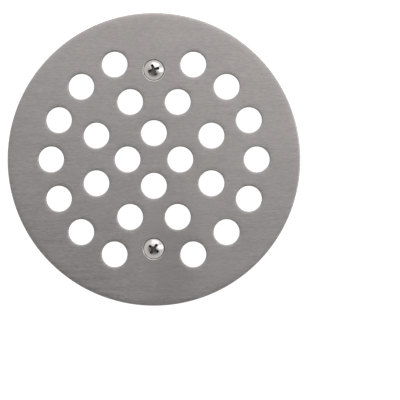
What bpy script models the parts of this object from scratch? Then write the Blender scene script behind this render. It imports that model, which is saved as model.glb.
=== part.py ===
"""Round screw-down floor drain grate: a stamped plate and the two oval-head screws that hold it.

Metres, +Z up. The origin is the middle of the plate's underside, which rests on the drain body.
+Z points out of the drain through the visible face, and +Y runs through both screw holes.
"""

import math

import bmesh
import bpy

MM = 0.001

# Plate
PLATE_DIAMETER = 107.95 * MM
PLATE_THICKNESS = 2.0 * MM
RIM_ROUNDING = 0.5 * MM
RIM_SIDES = 128

# Drain holes: rings of (radius, places round the circle, places left out, first angle in degrees)
DRAIN_HOLE_DIAMETER = 9.525 * MM
DRAIN_LIP = 0.25 * MM
OUTER_RING_RADIUS = 37.93 * MM
MIDDLE_RING_RADIUS = 22.98 * MM
INNER_RING_RADIUS = 9.74 * MM
DRAIN_RINGS = (
    (OUTER_RING_RADIUS, 16, (90.0, 270.0), 0.0),
    (MIDDLE_RING_RADIUS, 8, (), 22.5),
    (INNER_RING_RADIUS, 4, (), 0.0),
)
HOLE_SIDES = 32

# Oval-head cross-recess screws, No. 8-32 by 3/4 inch
SCREW_SPACING = 65.85 * MM
THREAD_DIAMETER = 4.17 * MM
SCREW_LENGTH = 19.05 * MM
HEAD_DOME = 1.3 * MM
TIP_CHAMFER = 0.5 * MM
RECESS_WIDTH = 4.5 * MM
RECESS_WING = 1.0 * MM
RECESS_DEPTH = 2.2 * MM
RECESS_TAPER = 0.5
REAR_RECESS_TURN = math.radians(20.0)
FRONT_RECESS_TURN = math.radians(-35.0)
SCREW_SIDES = 32
DOME_STEPS = 4

# Screw holes, countersunk from the visible face for the screws above
SHANK_CLEARANCE = 0.88 * MM
SCREW_HOLE_DIAMETER = THREAD_DIAMETER + SHANK_CLEARANCE
SINK_ANGLE = math.radians(82.0)
SINK_DIAMETER = 7.9 * MM
HEAD_MARGIN = 0.5 * MM
HEAD_DIAMETER = SINK_DIAMETER - HEAD_MARGIN
SEAT_GAP = 0.3 * MM

CUT_MARGIN = 1.0 * MM


def clear_scene():
    for thing in list(bpy.data.objects):
        bpy.data.objects.remove(thing, do_unlink=True)


def new_collection(name, helper=False):
    group = bpy.data.collections.new(name)
    bpy.context.scene.collection.children.link(group)
    group.hide_render = helper
    return group


def metal(name, colour, roughness):
    finish = bpy.data.materials.new(name)
    finish.use_nodes = True
    shader = finish.node_tree.nodes["Principled BSDF"]
    shader.inputs["Base Color"].default_value = (*colour, 1.0)
    shader.inputs["Metallic"].default_value = 1.0
    shader.inputs["Roughness"].default_value = roughness
    return finish


def put_in(group, name, mesh, helper=False):
    thing = bpy.data.objects.new(name, mesh)
    group.objects.link(thing)
    if helper:
        thing.hide_render = True
        thing.display_type = "WIRE"
    return thing


def add_screw_turn(thing, sides):
    """Turns a profile in the XZ plane about Z."""
    turn = thing.modifiers.new("turned", "SCREW")
    turn.axis = "Z"
    turn.angle = 2 * math.pi
    turn.steps = sides
    turn.render_steps = sides
    turn.use_merge_vertices = True
    turn.merge_threshold = 0.00001
    turn.use_smooth_shade = True


def profile_mesh(name, points):
    """An open profile of (radius, height) points, from the top of its axis down to the bottom."""
    mesh = bpy.data.meshes.new(name)
    edges = [(i, i + 1) for i in range(len(points) - 1)]
    mesh.from_pydata([(r, 0.0, z) for r, z in points], edges, [])
    return mesh


def arc(centre_r, centre_z, radius, start, end, steps):
    """Points round an arc, with angles in degrees from +R towards +Z."""
    points = []
    for i in range(steps + 1):
        angle = math.radians(start + (end - start) * i / steps)
        points.append((centre_r + radius * math.cos(angle), centre_z + radius * math.sin(angle)))
    return points


def add_cut(thing, cutter, name):
    cut = thing.modifiers.new(name, "BOOLEAN")
    cut.operation = "DIFFERENCE"
    cut.solver = "EXACT"
    cut.object = cutter


def plate_blank(group):
    """A flat disc whose top edge is rounded."""
    shape = bmesh.new()
    bmesh.ops.create_cone(
        shape,
        cap_ends=True,
        segments=RIM_SIDES,
        radius1=PLATE_DIAMETER / 2,
        radius2=PLATE_DIAMETER / 2,
        depth=PLATE_THICKNESS,
    )
    bmesh.ops.translate(shape, verts=shape.verts, vec=(0.0, 0.0, PLATE_THICKNESS / 2))
    top_rim = [e for e in shape.edges if all(v.co.z > PLATE_THICKNESS / 2 for v in e.verts)]
    bmesh.ops.bevel(
        shape, geom=top_rim, offset=RIM_ROUNDING, segments=2, profile=0.5, affect="EDGES"
    )
    mesh = bpy.data.meshes.new("strainer_plate")
    shape.to_mesh(mesh)
    shape.free()
    mesh.shade_smooth()
    mesh.set_sharp_from_angle(angle=math.radians(30.0))
    return put_in(group, "strainer_plate", mesh)


def drain_centres():
    for radius, places, left_out, first in DRAIN_RINGS:
        for i in range(places):
            angle = first + i * 360.0 / places
            if angle not in left_out:
                turn = math.radians(angle)
                yield radius * math.cos(turn), radius * math.sin(turn)


def drain_hole_mesh():
    """A round punch whose top flares by the hole's broken edge."""
    radius = DRAIN_HOLE_DIAMETER / 2
    flare = radius + DRAIN_LIP + CUT_MARGIN
    return profile_mesh(
        "drain_hole",
        [
            (0.0, PLATE_THICKNESS + CUT_MARGIN),
            (flare, PLATE_THICKNESS + CUT_MARGIN),
            (radius, PLATE_THICKNESS - DRAIN_LIP),
            (radius, -CUT_MARGIN),
            (0.0, -CUT_MARGIN),
        ],
    )


def sink_rise(radial):
    """The height over which the countersink's cone widens by this much in radius."""
    return radial / math.tan(SINK_ANGLE / 2)


def screw_hole_mesh():
    """A clearance hole under a cone that reaches its full diameter at the visible face."""
    radius = SCREW_HOLE_DIAMETER / 2
    cone_foot = PLATE_THICKNESS - sink_rise(SINK_DIAMETER / 2 - radius)
    widest = SINK_DIAMETER / 2 + CUT_MARGIN * math.tan(SINK_ANGLE / 2)
    return profile_mesh(
        "screw_hole",
        [
            (0.0, PLATE_THICKNESS + CUT_MARGIN),
            (widest, PLATE_THICKNESS + CUT_MARGIN),
            (radius, cone_foot),
            (radius, -CUT_MARGIN),
            (0.0, -CUT_MARGIN),
        ],
    )


def cut_holes(plate, cutters):
    for i, (x, y) in enumerate(drain_centres(), start=1):
        cutter = put_in(cutters, f"drain_cutter_{i:02d}", drain_hole_mesh(), helper=True)
        cutter.location = (x, y, 0.0)
        add_screw_turn(cutter, HOLE_SIDES)
        add_cut(plate, cutter, f"drain hole {i}")
    for side in (1, -1):
        cutter = put_in(cutters, f"screw_hole_cutter_{side}", screw_hole_mesh(), helper=True)
        cutter.location = (0.0, side * SCREW_SPACING / 2, 0.0)
        add_screw_turn(cutter, HOLE_SIDES)
        add_cut(plate, cutter, f"screw hole {side}")


def head_edge_height():
    """Where the head's widest edge lies, so that its cone keeps SEAT_GAP to the countersink."""
    gap_up = SEAT_GAP / math.sin(SINK_ANGLE / 2)
    return PLATE_THICKNESS - sink_rise(HEAD_MARGIN / 2) + gap_up


def screw_profile():
    """The screw's outline from the top of its domed head down to its tip."""
    head = HEAD_DIAMETER / 2
    thread = THREAD_DIAMETER / 2
    edge = head_edge_height()
    neck = edge - sink_rise(head - thread)
    tip = edge - SCREW_LENGTH
    dome_radius = (head**2 + HEAD_DOME**2) / (2 * HEAD_DOME)
    dome_centre = edge + HEAD_DOME - dome_radius
    dome_edge = math.degrees(math.asin((edge - dome_centre) / dome_radius))
    return arc(0.0, dome_centre, dome_radius, 90.0, dome_edge, DOME_STEPS) + [
        (thread, neck),
        (thread, tip + TIP_CHAMFER),
        (thread - TIP_CHAMFER, tip),
        (0.0, tip),
    ]


def recess_cutter(cutters, name, place, turned):
    """Two crossed wings that narrow towards the bottom, joined into one cross."""
    top = head_edge_height() + HEAD_DOME + CUT_MARGIN
    bottom = head_edge_height() + HEAD_DOME - RECESS_DEPTH
    wings = []
    for turn, suffix in ((turned, "a"), (turned + math.pi / 2, "b")):
        shape = bmesh.new()
        bmesh.ops.create_cube(shape, size=1.0)
        for vert in shape.verts:
            low = vert.co.z < 0
            vert.co.x *= RECESS_WIDTH * (RECESS_TAPER if low else 1.0)
            vert.co.y *= RECESS_WING
            vert.co.z = bottom if low else top
        mesh = bpy.data.meshes.new(f"{name}_wing_{suffix}")
        shape.to_mesh(mesh)
        shape.free()
        wing = put_in(cutters, f"{name}_wing_{suffix}", mesh, helper=True)
        wing.location = place
        wing.rotation_euler = (0.0, 0.0, turn)
        wings.append(wing)
    join = wings[0].modifiers.new("cross", "BOOLEAN")
    join.operation = "UNION"
    join.solver = "EXACT"
    join.object = wings[1]
    return wings[0]


def fixing_screw(group, cutters, name, side, recess_turn, finish):
    screw = put_in(group, name, profile_mesh(name, screw_profile()))
    screw.location = (0.0, side * SCREW_SPACING / 2, 0.0)
    add_screw_turn(screw, SCREW_SIDES)
    cross = recess_cutter(cutters, f"{name}_recess", screw.location, recess_turn)
    add_cut(screw, cross, "cross recess")
    screw.data.materials.append(finish)


def main():
    clear_scene()
    parts = new_collection("floor_drain_grate")
    cutters = new_collection("cutters", helper=True)
    brushed = metal("brushed nickel", (0.43, 0.405, 0.397), 0.35)
    bright = metal("bright nickel", (0.58, 0.555, 0.54), 0.25)
    plate = plate_blank(parts)
    plate.data.materials.append(brushed)
    cut_holes(plate, cutters)
    fixing_screw(parts, cutters, "fixing_screw_rear", 1, REAR_RECESS_TURN, bright)
    fixing_screw(parts, cutters, "fixing_screw_front", -1, FRONT_RECESS_TURN, bright)


main()
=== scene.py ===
"""Brushed nickel floor drain grate: the stamped plate, its two oval-head screws and their finishes."""

import math

import bmesh
import bpy
from mathutils import Matrix, Vector


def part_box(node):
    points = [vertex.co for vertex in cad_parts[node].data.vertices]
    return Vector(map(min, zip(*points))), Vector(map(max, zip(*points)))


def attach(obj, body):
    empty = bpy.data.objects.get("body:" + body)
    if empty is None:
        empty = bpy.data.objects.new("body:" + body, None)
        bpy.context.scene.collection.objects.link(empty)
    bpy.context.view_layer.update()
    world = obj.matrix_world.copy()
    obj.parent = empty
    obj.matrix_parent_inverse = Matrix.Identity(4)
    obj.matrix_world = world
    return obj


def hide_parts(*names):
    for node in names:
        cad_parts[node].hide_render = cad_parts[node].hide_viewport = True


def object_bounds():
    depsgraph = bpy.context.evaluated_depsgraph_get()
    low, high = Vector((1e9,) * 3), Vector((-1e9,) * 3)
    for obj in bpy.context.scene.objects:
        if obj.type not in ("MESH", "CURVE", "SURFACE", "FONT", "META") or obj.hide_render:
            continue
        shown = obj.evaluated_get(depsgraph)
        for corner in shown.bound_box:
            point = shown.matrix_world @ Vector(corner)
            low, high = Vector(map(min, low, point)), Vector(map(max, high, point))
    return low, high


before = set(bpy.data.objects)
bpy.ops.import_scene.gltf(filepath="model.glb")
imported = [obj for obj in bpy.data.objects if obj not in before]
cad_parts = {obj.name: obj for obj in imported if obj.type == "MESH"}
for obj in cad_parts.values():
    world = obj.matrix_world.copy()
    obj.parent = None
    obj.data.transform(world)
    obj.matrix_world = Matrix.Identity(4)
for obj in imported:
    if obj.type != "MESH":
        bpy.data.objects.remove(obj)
cad_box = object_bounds()

MM = 0.001

plate_low, plate_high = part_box("strainer_plate")
PLATE_RADIUS = plate_high[0]
PLATE_TOP = plate_high[2]
PLATE_BOTTOM = plate_low[2]

# Rings of drain holes: (radius, places round the circle, angles left out, first angle)
DRAIN_RINGS = (
    (37.93 * MM, 16, (90.0, 270.0), 0.0),
    (22.98 * MM, 8, (), 22.5),
    (9.74 * MM, 4, (), 0.0),
)
DRAIN_HOLE_RADIUS = 9.525 * MM / 2
LIP_ROUNDING = 0.24 * MM
LIP_LEAD = 1.4 * MM
LIP_TILT = math.radians(2.8)
BURNISH_SHARE = 0.45
TEAR_LINE = PLATE_TOP - LIP_ROUNDING - (PLATE_TOP - LIP_ROUNDING - PLATE_BOTTOM) * BURNISH_SHARE
TEAR_WANDER = 0.35 * MM
TEAR_BLUR = 0.08 * MM
TEAR_FLARE = 0.05 * MM
BURR_HEIGHT = 0.04 * MM
BURR_WIDTH = 0.09 * MM
RIM_ROUNDING = 0.42 * MM
RIM_LEAD = 1.9 * MM
RIM_TILT = math.radians(2.8)
RIM_BREAK = 0.12 * MM
RIM_SIDES = 360
HOLE_SIDES = 96
LEAD_STEPS = 4
ROUND_STEPS = 6
PLATE_CREASE = math.radians(32.0)
FLAT_WEIGHT = 100

# An oval patch of painted shade on the brushed face, below the front screw
PAINTED_SHADE_CENTRE = (7.5 * MM, -35.0 * MM)
PAINTED_SHADE_REACH = (14.0 * MM, 28.0 * MM)

# Countersunk screw holes
SCREW_HOLE_RADIUS = 5.05 * MM / 2
SINK_RADIUS = 7.9 * MM / 2
SINK_HALF_ANGLE = math.radians(41.0)
SINK_LIP_ROUNDING = 0.4 * MM
TOOL_RING = 0.07 * MM

# Oval-head screws with a cross recess and a 32-per-inch thread
THREAD_RADIUS = 4.17 * MM / 2
THREAD_PITCH = 25.4 * MM / 32
THREAD_DEPTH = 0.6134 * THREAD_PITCH
THREAD_SHAPE = (  # (share of a turn down, share of the depth out)
    (0.0, 1.0),
    (0.125, 1.0),
    (0.4375, 0.0),
    (0.6875, 0.0),
)
NECK_RADIUS = 1.9 * MM
SPARE_TURNS = 3
RUN_OUT = 0.9 * MM
TIP_CHAMFER = 0.5 * MM
HEAD_DOME = 1.3 * MM
DOME_STEPS = 20
EDGE_ROUNDING = 0.12 * MM
EDGE_SHAPE = (  # (inward, up) in shares of the edge's rounding
    (0.3, 0.25),
    (0.0, -0.3),
    (0.35, -0.9),
)
SCREW_SIDES = 96
SCREW_CREASE = math.radians(35.0)
WELD = 0.0005 * MM
RECESS_DEPTH = 2.2 * MM
RECESS_WALLS = (  # half sizes at the head's top and at the recess's bottom, and turn
    ((2.30 * MM, 0.50 * MM), (1.35 * MM, 0.38 * MM), 0.0),
    ((0.50 * MM, 2.30 * MM), (0.38 * MM, 1.35 * MM), 0.0),
    ((0.92 * MM, 0.92 * MM), (0.45 * MM, 0.45 * MM), math.radians(45.0)),
)
RECESS_TURNS = {
    "fixing_screw_rear": math.radians(20.0),
    "fixing_screw_front": math.radians(-35.0),
}
RECESS_REACH = 2.55 * MM
RECESS_SKIN = 0.03 * MM
# Between these heights the painted shade in the recess fades out towards the head's top
RECESS_SHADE = (PLATE_TOP - 0.9 * MM, PLATE_TOP + 1.2 * MM)

# Metal colours
BRUSHED_DARK = (0.372, 0.349, 0.342, 1.0)
BRUSHED_LIGHT = (0.486, 0.458, 0.449, 1.0)
# Colour of the painted shade below the front screw
BRUSHED_PAINTED_SHADE = (0.330, 0.309, 0.303, 1.0)
WALL_TORN = (0.26, 0.245, 0.235, 1.0)
WALL_BURNISHED = (0.48, 0.455, 0.44, 1.0)
SINK_DARK = (0.56, 0.535, 0.52, 1.0)
SINK_LIGHT = (0.74, 0.72, 0.70, 1.0)
MILL_DARK = (0.34, 0.33, 0.32, 1.0)
MILL_LIGHT = (0.47, 0.455, 0.44, 1.0)
BRIGHT_DARK = (0.50, 0.475, 0.46, 1.0)
BRIGHT_LIGHT = (0.66, 0.635, 0.62, 1.0)
# Recess colours: painted shade at depth, and lighter near the head's top
RECESS_DEEP_PAINTED_SHADE = (0.10, 0.095, 0.09, 1.0)
RECESS_LIGHT = (0.40, 0.385, 0.37, 1.0)
THREAD_DARK = (0.40, 0.385, 0.37, 1.0)
THREAD_LIGHT = (0.58, 0.56, 0.54, 1.0)


class Wire:
    """A shader output that can stand in a Python expression."""

    def __init__(self, graph, socket):
        self.graph = graph
        self.socket = socket

    def maths(self, operation, first, second):
        return self.graph.node("ShaderNodeMath", {"operation": operation}, {0: first, 1: second})

    def __add__(self, other):
        return self.maths("ADD", self, other)

    def __radd__(self, other):
        return self.maths("ADD", other, self)

    def __sub__(self, other):
        return self.maths("SUBTRACT", self, other)

    def __rsub__(self, other):
        return self.maths("SUBTRACT", other, self)

    def __mul__(self, other):
        return self.maths("MULTIPLY", self, other)

    def __rmul__(self, other):
        return self.maths("MULTIPLY", other, self)


class Graph:
    """The nodes of a material or of the surround."""

    def __init__(self, owner):
        owner.use_nodes = True
        self.tree = owner.node_tree

    def node(self, kind, settings, inputs, output=0):
        """Adds a node: its settings, then its inputs, each a value or a Wire. Gives one output."""
        made = self.tree.nodes.new(kind)
        for name, value in settings.items():
            setattr(made, name, value)
        self.feed(made, inputs)
        return Wire(self, made.outputs[output])

    def feed(self, node, inputs):
        for key, value in inputs.items():
            if isinstance(value, Wire):
                self.tree.links.new(value.socket, node.inputs[key])
            else:
                node.inputs[key].default_value = value

    def ranged(self, value, low, high, to_low=0.0, to_high=1.0):
        """Eases from one level to another while the value goes from low to high."""
        return self.node(
            "ShaderNodeMapRange",
            {"interpolation_type": "SMOOTHSTEP"},
            {0: value, 1: low, 2: high, 3: to_low, 4: to_high},
        )

    def part_of(self, vector, axis):
        return self.node("ShaderNodeSeparateXYZ", {}, {0: vector}, axis)

    def mixed(self, share, first, second):
        """The first colour where share is 0 and the second where it is 1."""
        return self.node(
            "ShaderNodeMix", {"data_type": "RGBA"}, {0: share, 6: first, 7: second}, output=2
        )


class Finish(Graph):
    """A material: a Principled shader and the nodes that feed it."""

    def __init__(self, name):
        self.material = bpy.data.materials.new(name)
        super().__init__(self.material)
        self.place = self.node("ShaderNodeTexCoord", {}, {}, "Object")

    def noise(self, per_metre, detail=2.0, roughness=0.5, shift=(0.0, 0.0, 0.0)):
        """Noise from 0 to 1 with so many features a metre along X, Y and Z."""
        scaled = self.node(
            "ShaderNodeVectorMath",
            {"operation": "MULTIPLY_ADD"},
            {0: self.place, 1: per_metre, 2: shift},
        )
        return self.node(
            "ShaderNodeTexNoise",
            {},
            {"Vector": scaled, "Scale": 1.0, "Detail": detail, "Roughness": roughness},
        )

    def away_from(self, centre, reach):
        """The distance from a centre on the face, which is 1 where an oval of this reach ends."""
        spread = (1 / reach[0], 1 / reach[1], 0.0)
        shift = (-centre[0] / reach[0], -centre[1] / reach[1], 0.0)
        offset = self.node(
            "ShaderNodeVectorMath",
            {"operation": "MULTIPLY_ADD"},
            {0: self.place, 1: spread, 2: shift},
        )
        return self.node("ShaderNodeVectorMath", {"operation": "LENGTH"}, {0: offset}, "Value")

    def bumped(self, height, depth):
        """A surface normal for a relief of this depth."""
        return self.node(
            "ShaderNodeBump", {}, {"Height": height, "Distance": depth, "Strength": 1.0}
        )

    def settle(self, **inputs):
        """Feeds the shader's inputs, named with underscores for spaces, and gives the material."""
        shader = self.tree.nodes["Principled BSDF"]
        self.feed(shader, {name.replace("_", " "): value for name, value in inputs.items()})
        return self.material


def brushed_nickel():
    """Satin nickel with fine scratches along X, and an oval of painted shade below the front screw."""
    finish = Finish("brushed_nickel")
    hair = finish.noise((290.0, 7600.0, 290.0), detail=3.0, roughness=0.65)
    grain = finish.noise((720.0, 3300.0, 720.0), detail=3.0, roughness=0.6, shift=(3.1, 7.7, 1.9))
    band = finish.noise((45.0, 900.0, 45.0), detail=2.0, shift=(11.3, 2.9, 5.1))
    cloud = finish.noise((26.0, 40.0, 26.0), detail=2.0, shift=(1.7, 9.2, 4.4))
    stray = finish.noise((55.0, 4200.0, 55.0), detail=1.0, shift=(6.2, 1.4, 8.8))
    scored = finish.ranged(stray, 0.69, 0.74)
    tone = hair * 0.45 + grain * 0.35 + band * 0.07 + cloud * 0.13
    share = finish.ranged(tone, 0.36, 0.64)
    metal = finish.mixed(share, BRUSHED_DARK, BRUSHED_LIGHT)
    # Painted shade: the base colour darkens over an oval below the front screw
    dull = finish.ranged(finish.away_from(PAINTED_SHADE_CENTRE, PAINTED_SHADE_REACH), 0.25, 1.0, 0.5, 0.0)
    relief = hair * 0.5 + grain * 0.5 - scored * 0.15
    return finish.settle(
        Base_Color=finish.mixed(dull, metal, BRUSHED_PAINTED_SHADE),
        Metallic=1.0,
        Roughness=0.30 + 0.10 * finish.ranged(grain * 0.6 + band * 0.4, 0.35, 0.65) + 0.03 * scored,
        Normal=finish.bumped(relief, depth=0.026 * MM),
    )


def punched_wall():
    """A sheared edge: a burnished band below the lip and a dull torn band under it."""
    finish = Finish("punched_wall")
    height = finish.part_of(finish.place, "Z")
    wander = finish.noise((900.0, 900.0, 60.0), detail=3.0)
    edge = height + (wander - 0.5) * TEAR_WANDER
    burnished = finish.ranged(edge, TEAR_LINE - TEAR_BLUR, TEAR_LINE + TEAR_BLUR)
    drag = finish.noise((4200.0, 4200.0, 120.0))
    torn = finish.noise((2600.0, 2600.0, 1800.0), detail=4.0, roughness=0.7)
    relief = drag * burnished * 0.3 + torn * (1.0 - burnished)
    return finish.settle(
        Base_Color=finish.mixed(burnished, WALL_TORN, WALL_BURNISHED),
        Metallic=1.0,
        Roughness=0.50 - 0.24 * burnished + 0.08 * torn,
        Normal=finish.bumped(relief, depth=0.05 * MM),
    )


def turned_sink():
    """The countersinks, cut bright with faint tool rings."""
    finish = Finish("turned_sink")
    height = finish.part_of(finish.place, "Z")
    turn = height * (2 * math.pi / TOOL_RING)
    rings = finish.node("ShaderNodeMath", {"operation": "SINE"}, {0: turn})
    wear = finish.noise((500.0, 500.0, 500.0), detail=3.0)
    return finish.settle(
        Base_Color=finish.mixed(wear, SINK_DARK, SINK_LIGHT),
        Metallic=1.0,
        Roughness=0.10 + 0.10 * wear,
        Normal=finish.bumped(rings * 0.5 + wear, depth=0.0025 * MM),
    )


def mill_underside():
    """The unbrushed underside of the sheet, dull with faint rolling lines and stray scratches."""
    finish = Finish("mill_underside")
    rolled = finish.noise((900.0, 30.0, 30.0), detail=3.0)
    speck = finish.noise((2400.0, 2400.0, 2400.0), detail=3.0, roughness=0.65)
    stain = finish.noise((45.0, 45.0, 45.0), detail=3.0, shift=(5.0, 1.0, 2.0))
    stray = finish.noise((110.0, 2600.0, 110.0), detail=1.0, shift=(8.0, 3.0, 2.0))
    scored = finish.ranged(stray, 0.66, 0.72)
    share = finish.ranged(rolled * 0.35 + stain * 0.45 + speck * 0.20, 0.35, 0.65)
    relief = rolled * 0.5 + speck * 0.5 - scored * 0.5
    return finish.settle(
        Base_Color=finish.mixed(share, MILL_DARK, MILL_LIGHT),
        Metallic=1.0,
        Roughness=0.44 + 0.14 * stain - 0.10 * scored,
        Normal=finish.bumped(relief, depth=0.014 * MM),
    )


def bright_nickel():
    """The plated screw heads: satin, with faint wiping marks and a few hairline scratches."""
    finish = Finish("bright_nickel")
    haze = finish.noise((700.0, 700.0, 700.0), detail=3.0)
    wiped = finish.noise((5200.0, 900.0, 900.0), detail=3.0, roughness=0.6, shift=(4.0, 2.0, 9.0))
    stray = finish.noise((420.0, 7200.0, 420.0), detail=1.0, shift=(2.0, 6.0, 1.0))
    scored = finish.ranged(stray, 0.68, 0.73)
    share = haze * 0.6 + wiped * 0.4
    return finish.settle(
        Base_Color=finish.mixed(share, BRIGHT_DARK, BRIGHT_LIGHT),
        Metallic=1.0,
        Roughness=0.20 + 0.10 * share + 0.10 * scored,
        Normal=finish.bumped(wiped * 0.5 + haze * 0.3 - scored * 0.4, depth=0.005 * MM),
    )


def recess_nickel():
    """The punched cross recess, duller than the head, with painted shade that darkens it with depth.
    """
    finish = Finish("recess_nickel")
    drag = finish.noise((2600.0, 2600.0, 260.0), detail=3.0)
    # Painted shade: the recess darkens with depth below the head's top, mixed with random drag marks
    less_painted_shade = finish.ranged(finish.part_of(finish.place, "Z"), *RECESS_SHADE)
    return finish.settle(
        Base_Color=finish.mixed(less_painted_shade * 0.7 + drag * 0.3, RECESS_DEEP_PAINTED_SHADE, RECESS_LIGHT),
        Metallic=1.0,
        Roughness=0.42 - 0.14 * drag,
        Normal=finish.bumped(drag, depth=0.02 * MM),
    )


def rolled_thread():
    """The rolled thread, plated duller than the head."""
    finish = Finish("rolled_thread")
    rolled = finish.noise((1300.0, 1300.0, 5200.0), detail=3.0)
    stain = finish.noise((260.0, 260.0, 260.0), detail=3.0)
    return finish.settle(
        Base_Color=finish.mixed(stain, THREAD_DARK, THREAD_LIGHT),
        Metallic=1.0,
        Roughness=0.24 + 0.16 * rolled,
        Normal=finish.bumped(rolled, depth=0.005 * MM),
    )


def piece_from(shape, name):
    """An object of the finished shape."""
    mesh = bpy.data.meshes.new(name)
    shape.to_mesh(mesh)
    shape.free()
    piece = bpy.data.objects.new(name, mesh)
    bpy.context.scene.collection.objects.link(piece)
    return piece


def add_ring(shape, centre, radius, height, sides):
    ring = []
    for i in range(sides):
        angle = 2 * math.pi * i / sides
        x = centre[0] + radius * math.cos(angle)
        y = centre[1] + radius * math.sin(angle)
        ring.append(shape.verts.new((x, y, height)))
    return ring


def skin_rings(shape, rings, slots):
    """Joins each ring to the next with quads in that stretch's material slot."""
    for upper, lower, slot in zip(rings, rings[1:], slots):
        for i in range(len(upper)):
            face = shape.faces.new((upper[i - 1], upper[i], lower[i], lower[i - 1]))
            face.material_index = slot
            face.smooth = True


def rolled_edge(radius, height, size, lead, tilt, outward):
    """Points, as (radius, height), where the face dips over the lead and then rounds into the wall."""
    points = []
    for i in range(LEAD_STEPS):
        along = lead * i / LEAD_STEPS
        inset = size * (1 - math.sin(tilt)) + lead - along
        points.append((radius - outward * inset, height - tilt * along**2 / (2 * lead)))
    for i in range(ROUND_STEPS + 1):
        turn = tilt + (math.pi / 2 - tilt) * i / ROUND_STEPS
        drop = tilt * lead / 2 + size * (math.cos(tilt) - math.cos(turn))
        points.append((radius - outward * size * (1 - math.sin(turn)), height - drop))
    return points


BRUSHED, WALL, SINK, UNDER = range(4)


def rim_outline():
    """The plate's rim from the visible face down to the underside."""
    points = rolled_edge(PLATE_RADIUS, PLATE_TOP, RIM_ROUNDING, RIM_LEAD, RIM_TILT, outward=1)
    points.append((PLATE_RADIUS, PLATE_BOTTOM + RIM_BREAK))
    points.append((PLATE_RADIUS - RIM_BREAK, PLATE_BOTTOM))
    return points, [BRUSHED] * (LEAD_STEPS + ROUND_STEPS) + [WALL, WALL]


def drain_outline():
    """A punched hole: rolled-over lip, burnished band, flared torn band and a small burr below."""
    points = rolled_edge(DRAIN_HOLE_RADIUS, PLATE_TOP, LIP_ROUNDING, LIP_LEAD, LIP_TILT, outward=-1)
    foot = DRAIN_HOLE_RADIUS + TEAR_FLARE
    points.append((DRAIN_HOLE_RADIUS, TEAR_LINE))
    points.append((foot, PLATE_BOTTOM - BURR_HEIGHT))
    points.append((foot + BURR_WIDTH, PLATE_BOTTOM))
    return points, [BRUSHED] * (LEAD_STEPS + ROUND_STEPS) + [WALL, WALL, UNDER]


def sink_outline():
    """A countersunk hole: soft lip, cone, and the short straight land below it."""
    fall = math.pi / 2 - SINK_HALF_ANGLE
    start = SINK_RADIUS + SINK_LIP_ROUNDING * math.tan(fall / 2)
    points = []
    for i in range(ROUND_STEPS + 1):
        turn = fall * i / ROUND_STEPS
        points.append(
            (
                start - SINK_LIP_ROUNDING * math.sin(turn),
                PLATE_TOP - SINK_LIP_ROUNDING * (1 - math.cos(turn)),
            )
        )
    cone_foot = PLATE_TOP - (SINK_RADIUS - SCREW_HOLE_RADIUS) / math.tan(SINK_HALF_ANGLE)
    points.append((SCREW_HOLE_RADIUS, cone_foot))
    points.append((SCREW_HOLE_RADIUS, PLATE_BOTTOM))
    return points, [SINK] * (ROUND_STEPS + 1) + [WALL]


def drain_centres():
    for radius, places, left_out, first in DRAIN_RINGS:
        for i in range(places):
            angle = first + i * 360.0 / places
            if angle not in left_out:
                turn = math.radians(angle)
                yield radius * math.cos(turn), radius * math.sin(turn)


def fill_flat(shape, loops, up, slot):
    """Fills one flat face of the plate between its rim and its holes."""
    made = bmesh.ops.triangle_fill(
        shape, use_beauty=True, use_dissolve=False, edges=loops, normal=(0.0, 0.0, up)
    )
    for face in made["geom"]:
        if isinstance(face, bmesh.types.BMFace):
            face.material_index = slot
            face.smooth = True


def strainer_plate(screw_places, finishes):
    shape = bmesh.new()
    openings = [(centre, *drain_outline(), HOLE_SIDES) for centre in drain_centres()]
    openings += [(centre, *sink_outline(), HOLE_SIDES) for centre in screw_places]
    openings.append(((0.0, 0.0), *rim_outline(), RIM_SIDES))
    top_loops, bottom_loops = [], []
    for centre, points, slots, sides in openings:
        rings = [add_ring(shape, centre, radius, height, sides) for radius, height in points]
        skin_rings(shape, rings, slots)
        top_loops.append(rings[0])
        bottom_loops.append(rings[-1])
    for loops, up, slot in ((top_loops, 1.0, BRUSHED), (bottom_loops, -1.0, UNDER)):
        edges = []
        for ring in loops:
            edges += [shape.edges.get((ring[i - 1], ring[i])) for i in range(len(ring))]
        fill_flat(shape, edges, up, slot)
    bmesh.ops.recalc_face_normals(shape, faces=shape.faces)
    plate = piece_from(shape, "plate_metal")
    plate.data.set_sharp_from_angle(angle=PLATE_CREASE)
    for finish in finishes:
        plate.data.materials.append(finish)
    weigh = plate.modifiers.new("flat faces keep their normals", "WEIGHTED_NORMAL")
    weigh.keep_sharp = True
    weigh.weight = FLAT_WEIGHT
    return plate


def dome_height(radius, head_radius, edge_height):
    """The domed head's height at a radius."""
    ball = (head_radius**2 + HEAD_DOME**2) / (2 * HEAD_DOME)
    return edge_height + HEAD_DOME - ball + math.sqrt(ball**2 - radius**2)


def head_outline(head_radius, edge_height):
    """The oval head from just off its middle down to the neck, as (radius, height)."""
    points = []
    for i in range(1, DOME_STEPS + 1):
        radius = (head_radius - EDGE_ROUNDING) * i / DOME_STEPS
        points.append((radius, dome_height(radius, head_radius, edge_height)))
    for inward, up in EDGE_SHAPE:
        points.append((head_radius - inward * EDGE_ROUNDING, edge_height + up * EDGE_ROUNDING))
    neck = edge_height - (head_radius - NECK_RADIUS) / math.tan(SINK_HALF_ANGLE)
    points.append((NECK_RADIUS, neck))
    return points, neck


def thread_radius(height, share, neck, tip):
    """How far out the thread stands at a height, for a share of its depth."""
    root = THREAD_RADIUS - THREAD_DEPTH
    radius = root + THREAD_DEPTH * share
    fade = min(max((height - (neck - RUN_OUT)) / RUN_OUT, 0.0), 1.0)
    radius += (NECK_RADIUS - radius) * fade * fade * (3 - 2 * fade)
    return min(radius, THREAD_RADIUS - TIP_CHAMFER + (height - tip))


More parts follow.
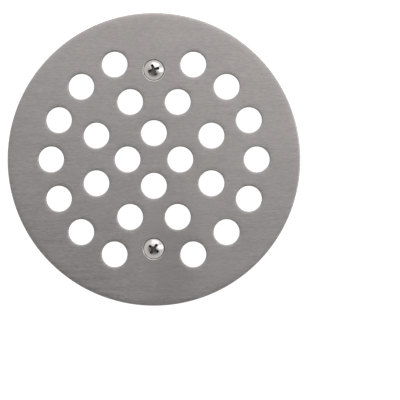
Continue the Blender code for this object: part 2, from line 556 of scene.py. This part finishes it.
def add_thread(shape, centre, neck, tip):
    """The helical surface from the neck down to the tip, one column of points for each side.

    The turns that would pass the neck or the tip are pressed onto it, and welded there later.
    """
    turns = int((neck - tip) / THREAD_PITCH) + SPARE_TURNS
    columns = []
    for i in range(SCREW_SIDES + 1):
        angle = 2 * math.pi * i / SCREW_SIDES
        column = []
        for turn in range(turns):
            for share_down, share_out in THREAD_SHAPE:
                drop = (turn - 1 + share_down + i / SCREW_SIDES) * THREAD_PITCH
                height = min(max(neck - drop, tip), neck)
                radius = thread_radius(height, share_out, neck, tip)
                if height == neck:
                    radius = NECK_RADIUS
                if height == tip:
                    radius = THREAD_RADIUS - TIP_CHAMFER
                x = centre[0] + radius * math.cos(angle)
                y = centre[1] + radius * math.sin(angle)
                column.append(shape.verts.new((x, y, height)))
        columns.append(column)
    for left, right in zip(columns, columns[1:]):
        for j in range(len(left) - 1):
            face = shape.faces.new((left[j], left[j + 1], right[j + 1], right[j]))
            face.smooth = True
            face.material_index = THREAD
    return columns


def recess_cutters(name, centre, top, turned):
    """Tapered blocks that leave a cross recess: two wings, and a square eye between them.

    Each starts as a cube of half size 1 and reaches as far above the head as below its top.
    """
    cutters = []
    for k, (upper, lower, turn) in enumerate(RECESS_WALLS):
        shape = bmesh.new()
        bmesh.ops.create_cube(shape, size=2.0)
        for vert in shape.verts:
            down = 1.0 if vert.co.z < 0 else -1.0
            vert.co.x *= upper[0] + (lower[0] - upper[0]) * down
            vert.co.y *= upper[1] + (lower[1] - upper[1]) * down
            vert.co.z = top - RECESS_DEPTH * down
        bmesh.ops.rotate(shape, verts=shape.verts, matrix=Matrix.Rotation(turned + turn, 3, "Z"))
        bmesh.ops.translate(shape, verts=shape.verts, vec=(*centre, 0.0))
        cutters.append(piece_from(shape, f"{name}_recess_{k}"))
    return cutters


def cut_away(piece, cutters):
    """Cuts the helpers from the piece for good, and removes them."""
    for cutter in cutters:
        cut = piece.modifiers.new(cutter.name, "BOOLEAN")
        cut.operation = "DIFFERENCE"
        cut.solver = "EXACT"
        cut.object = cutter
    graph = bpy.context.evaluated_depsgraph_get()
    mesh = bpy.data.meshes.new_from_object(piece.evaluated_get(graph))
    piece.modifiers.clear()
    piece.data = mesh
    for cutter in cutters:
        bpy.data.objects.remove(cutter, do_unlink=True)


HEAD, RECESS, THREAD = range(3)


def fixing_screw(node, finishes):
    low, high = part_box(node)
    centre = ((low[0] + high[0]) / 2, (low[1] + high[1]) / 2)
    head_radius = (high[0] - low[0]) / 2
    edge_height = high[2] - HEAD_DOME
    shape = bmesh.new()
    outline, neck = head_outline(head_radius, edge_height)
    rings = [add_ring(shape, centre, radius, height, SCREW_SIDES) for radius, height in outline]
    skin_rings(shape, rings, [HEAD] * len(outline))
    middle = shape.verts.new((*centre, high[2]))
    for i in range(SCREW_SIDES):
        shape.faces.new((middle, rings[0][i], rings[0][i - 1])).smooth = True
    columns = add_thread(shape, centre, neck, low[2])
    foot = shape.verts.new((*centre, low[2]))
    for left, right in zip(columns, columns[1:]):
        shape.faces.new((foot, right[-1], left[-1])).material_index = THREAD
    bmesh.ops.remove_doubles(shape, verts=shape.verts, dist=WELD)
    bmesh.ops.recalc_face_normals(shape, faces=shape.faces)
    screw = piece_from(shape, f"{node}_metal")
    cut_away(screw, recess_cutters(node, centre, high[2], RECESS_TURNS[node]))
    for finish in finishes:
        screw.data.materials.append(finish)
    for face in screw.data.polygons:
        radius = math.hypot(face.center.x - centre[0], face.center.y - centre[1])
        dome = dome_height(min(radius, head_radius), head_radius, edge_height)
        if neck < face.center.z < dome - RECESS_SKIN and radius < RECESS_REACH:
            face.material_index = RECESS
    screw.data.set_sharp_from_angle(angle=SCREW_CREASE)
    return screw


def build_pieces():
    screw_finishes = [bright_nickel(), recess_nickel(), rolled_thread()]
    plate_finishes = [brushed_nickel(), punched_wall(), turned_sink(), mill_underside()]
    places = []
    for node, body in (("fixing_screw_rear", "rear_screw"), ("fixing_screw_front", "front_screw")):
        low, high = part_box(node)
        places.append(((low[0] + high[0]) / 2, (low[1] + high[1]) / 2))
        screw = fixing_screw(node, screw_finishes)
        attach(screw, body)
        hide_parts(node)
    plate = strainer_plate(places, plate_finishes)
    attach(plate, "plate")
    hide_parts("strainer_plate")


# Camera straight above the plate, a little to its right and below its middle
VIEW_SIDE = 147.42 * MM
VIEW_CENTRE = (17.0 * MM, -14.97 * MM)
CAMERA_DISTANCE = 0.5
SENSOR_WIDTH = 36.0
CLIP_START = 0.01
CLIP_END = 20.0


def add_camera():
    data = bpy.data.cameras.new("studio_camera")
    data.sensor_width = SENSOR_WIDTH
    data.lens = SENSOR_WIDTH * CAMERA_DISTANCE / VIEW_SIDE
    data.clip_start = CLIP_START
    data.clip_end = CLIP_END
    camera = bpy.data.objects.new("studio_camera", data)
    camera.location = (*VIEW_CENTRE, PLATE_TOP + CAMERA_DISTANCE)
    bpy.context.scene.collection.objects.link(camera)
    bpy.context.scene.camera = camera


FLOOR_SIDE = 8.0
FLOOR_DROP = 0.2 * MM
FLOOR_DARK = (0.20, 0.20, 0.20, 1.0)
FLOOR_LIGHT = (0.22, 0.22, 0.22, 1.0)
FLOOR_WHITE = (0.97, 0.97, 0.97, 1.0)
FLOOR_IN_METAL = (0.16, 0.16, 0.16, 1.0)


def floor_white():
    """The floor's finish: white where it is looked at, and dim in reflections."""
    finish = Finish("floor_white")
    speck = finish.noise((30.0, 30.0, 30.0))
    looked_at = finish.node("ShaderNodeLightPath", {}, {}, "Is Camera Ray")
    return finish.settle(
        Base_Color=finish.mixed(speck, FLOOR_DARK, FLOOR_LIGHT),
        Roughness=0.9,
        Emission_Color=finish.mixed(looked_at, FLOOR_IN_METAL, FLOOR_WHITE),
        Emission_Strength=1.0,
    )


def add_floor():
    """A pale floor under the screws."""
    shape = bmesh.new()
    bmesh.ops.create_grid(shape, x_segments=1, y_segments=1, size=FLOOR_SIDE / 2)
    floor = piece_from(shape, "studio_floor")
    floor.location.z = cad_box[0][2] - FLOOR_DROP
    floor.data.materials.append(floor_white())


# The reflected surround gets brighter along SKY_LEAN, towards the rear. Overhead it does so
# between OVERHEAD_EDGES. Lower down, past the heights in AROUND_EDGES, it is more even.
SKY_WHITE = (1.0, 1.0, 1.0, 1.0)
SKY_LEAN = (0.35, 0.93, 0.0)
OVERHEAD_EDGES = (-0.25, 0.33)
OVERHEAD_DARK = 0.13
OVERHEAD_BRIGHT = 1.24
AROUND_DARK = 0.82
AROUND_BRIGHT = 0.92
AROUND_EDGES = (0.60, 0.82)


def add_sky():
    """A studio surround, white to look at and shaded from front to rear in reflections."""
    world = bpy.data.worlds.new("studio_sky")
    sky = Graph(world)
    way = sky.node("ShaderNodeTexCoord", {}, {}, "Generated")
    lean = sky.node(
        "ShaderNodeVectorMath", {"operation": "DOT_PRODUCT"}, {0: way, 1: SKY_LEAN}, "Value"
    )
    overhead = sky.ranged(lean, *OVERHEAD_EDGES, OVERHEAD_DARK, OVERHEAD_BRIGHT)
    around = sky.ranged(lean, -1.0, 1.0, AROUND_DARK, AROUND_BRIGHT)
    above = sky.ranged(sky.part_of(way, "Z"), *AROUND_EDGES)
    shade = overhead * above + around * (1.0 - above)
    looked_at = sky.node("ShaderNodeLightPath", {}, {}, "Is Camera Ray")
    strength = shade * (1.0 - looked_at) + looked_at
    sky.feed(sky.tree.nodes["Background"], {"Color": SKY_WHITE, "Strength": strength})
    bpy.context.scene.world = world


def add_softbox(name, place, size, power):
    """A rectangular soft light aimed at the middle of the plate."""
    data = bpy.data.lights.new(name, "AREA")
    data.shape = "RECTANGLE"
    data.size, data.size_y = size
    data.energy = power
    light = bpy.data.objects.new(name, data)
    light.location = place
    light.rotation_euler = (-Vector(place)).to_track_quat("-Z", "Y").to_euler()
    light.visible_camera = False
    bpy.context.scene.collection.objects.link(light)


def add_lights():
    add_softbox("rear_softbox", place=(0.12, 0.62, 0.55), size=(0.7, 0.35), power=1.2)
    add_softbox("side_softbox", place=(0.60, 0.10, 0.45), size=(0.3, 0.5), power=0.8)


add_camera()
build_pieces()
add_floor()
add_sky()
add_lights()
bpy.context.scene.view_settings.view_transform = "Standard"
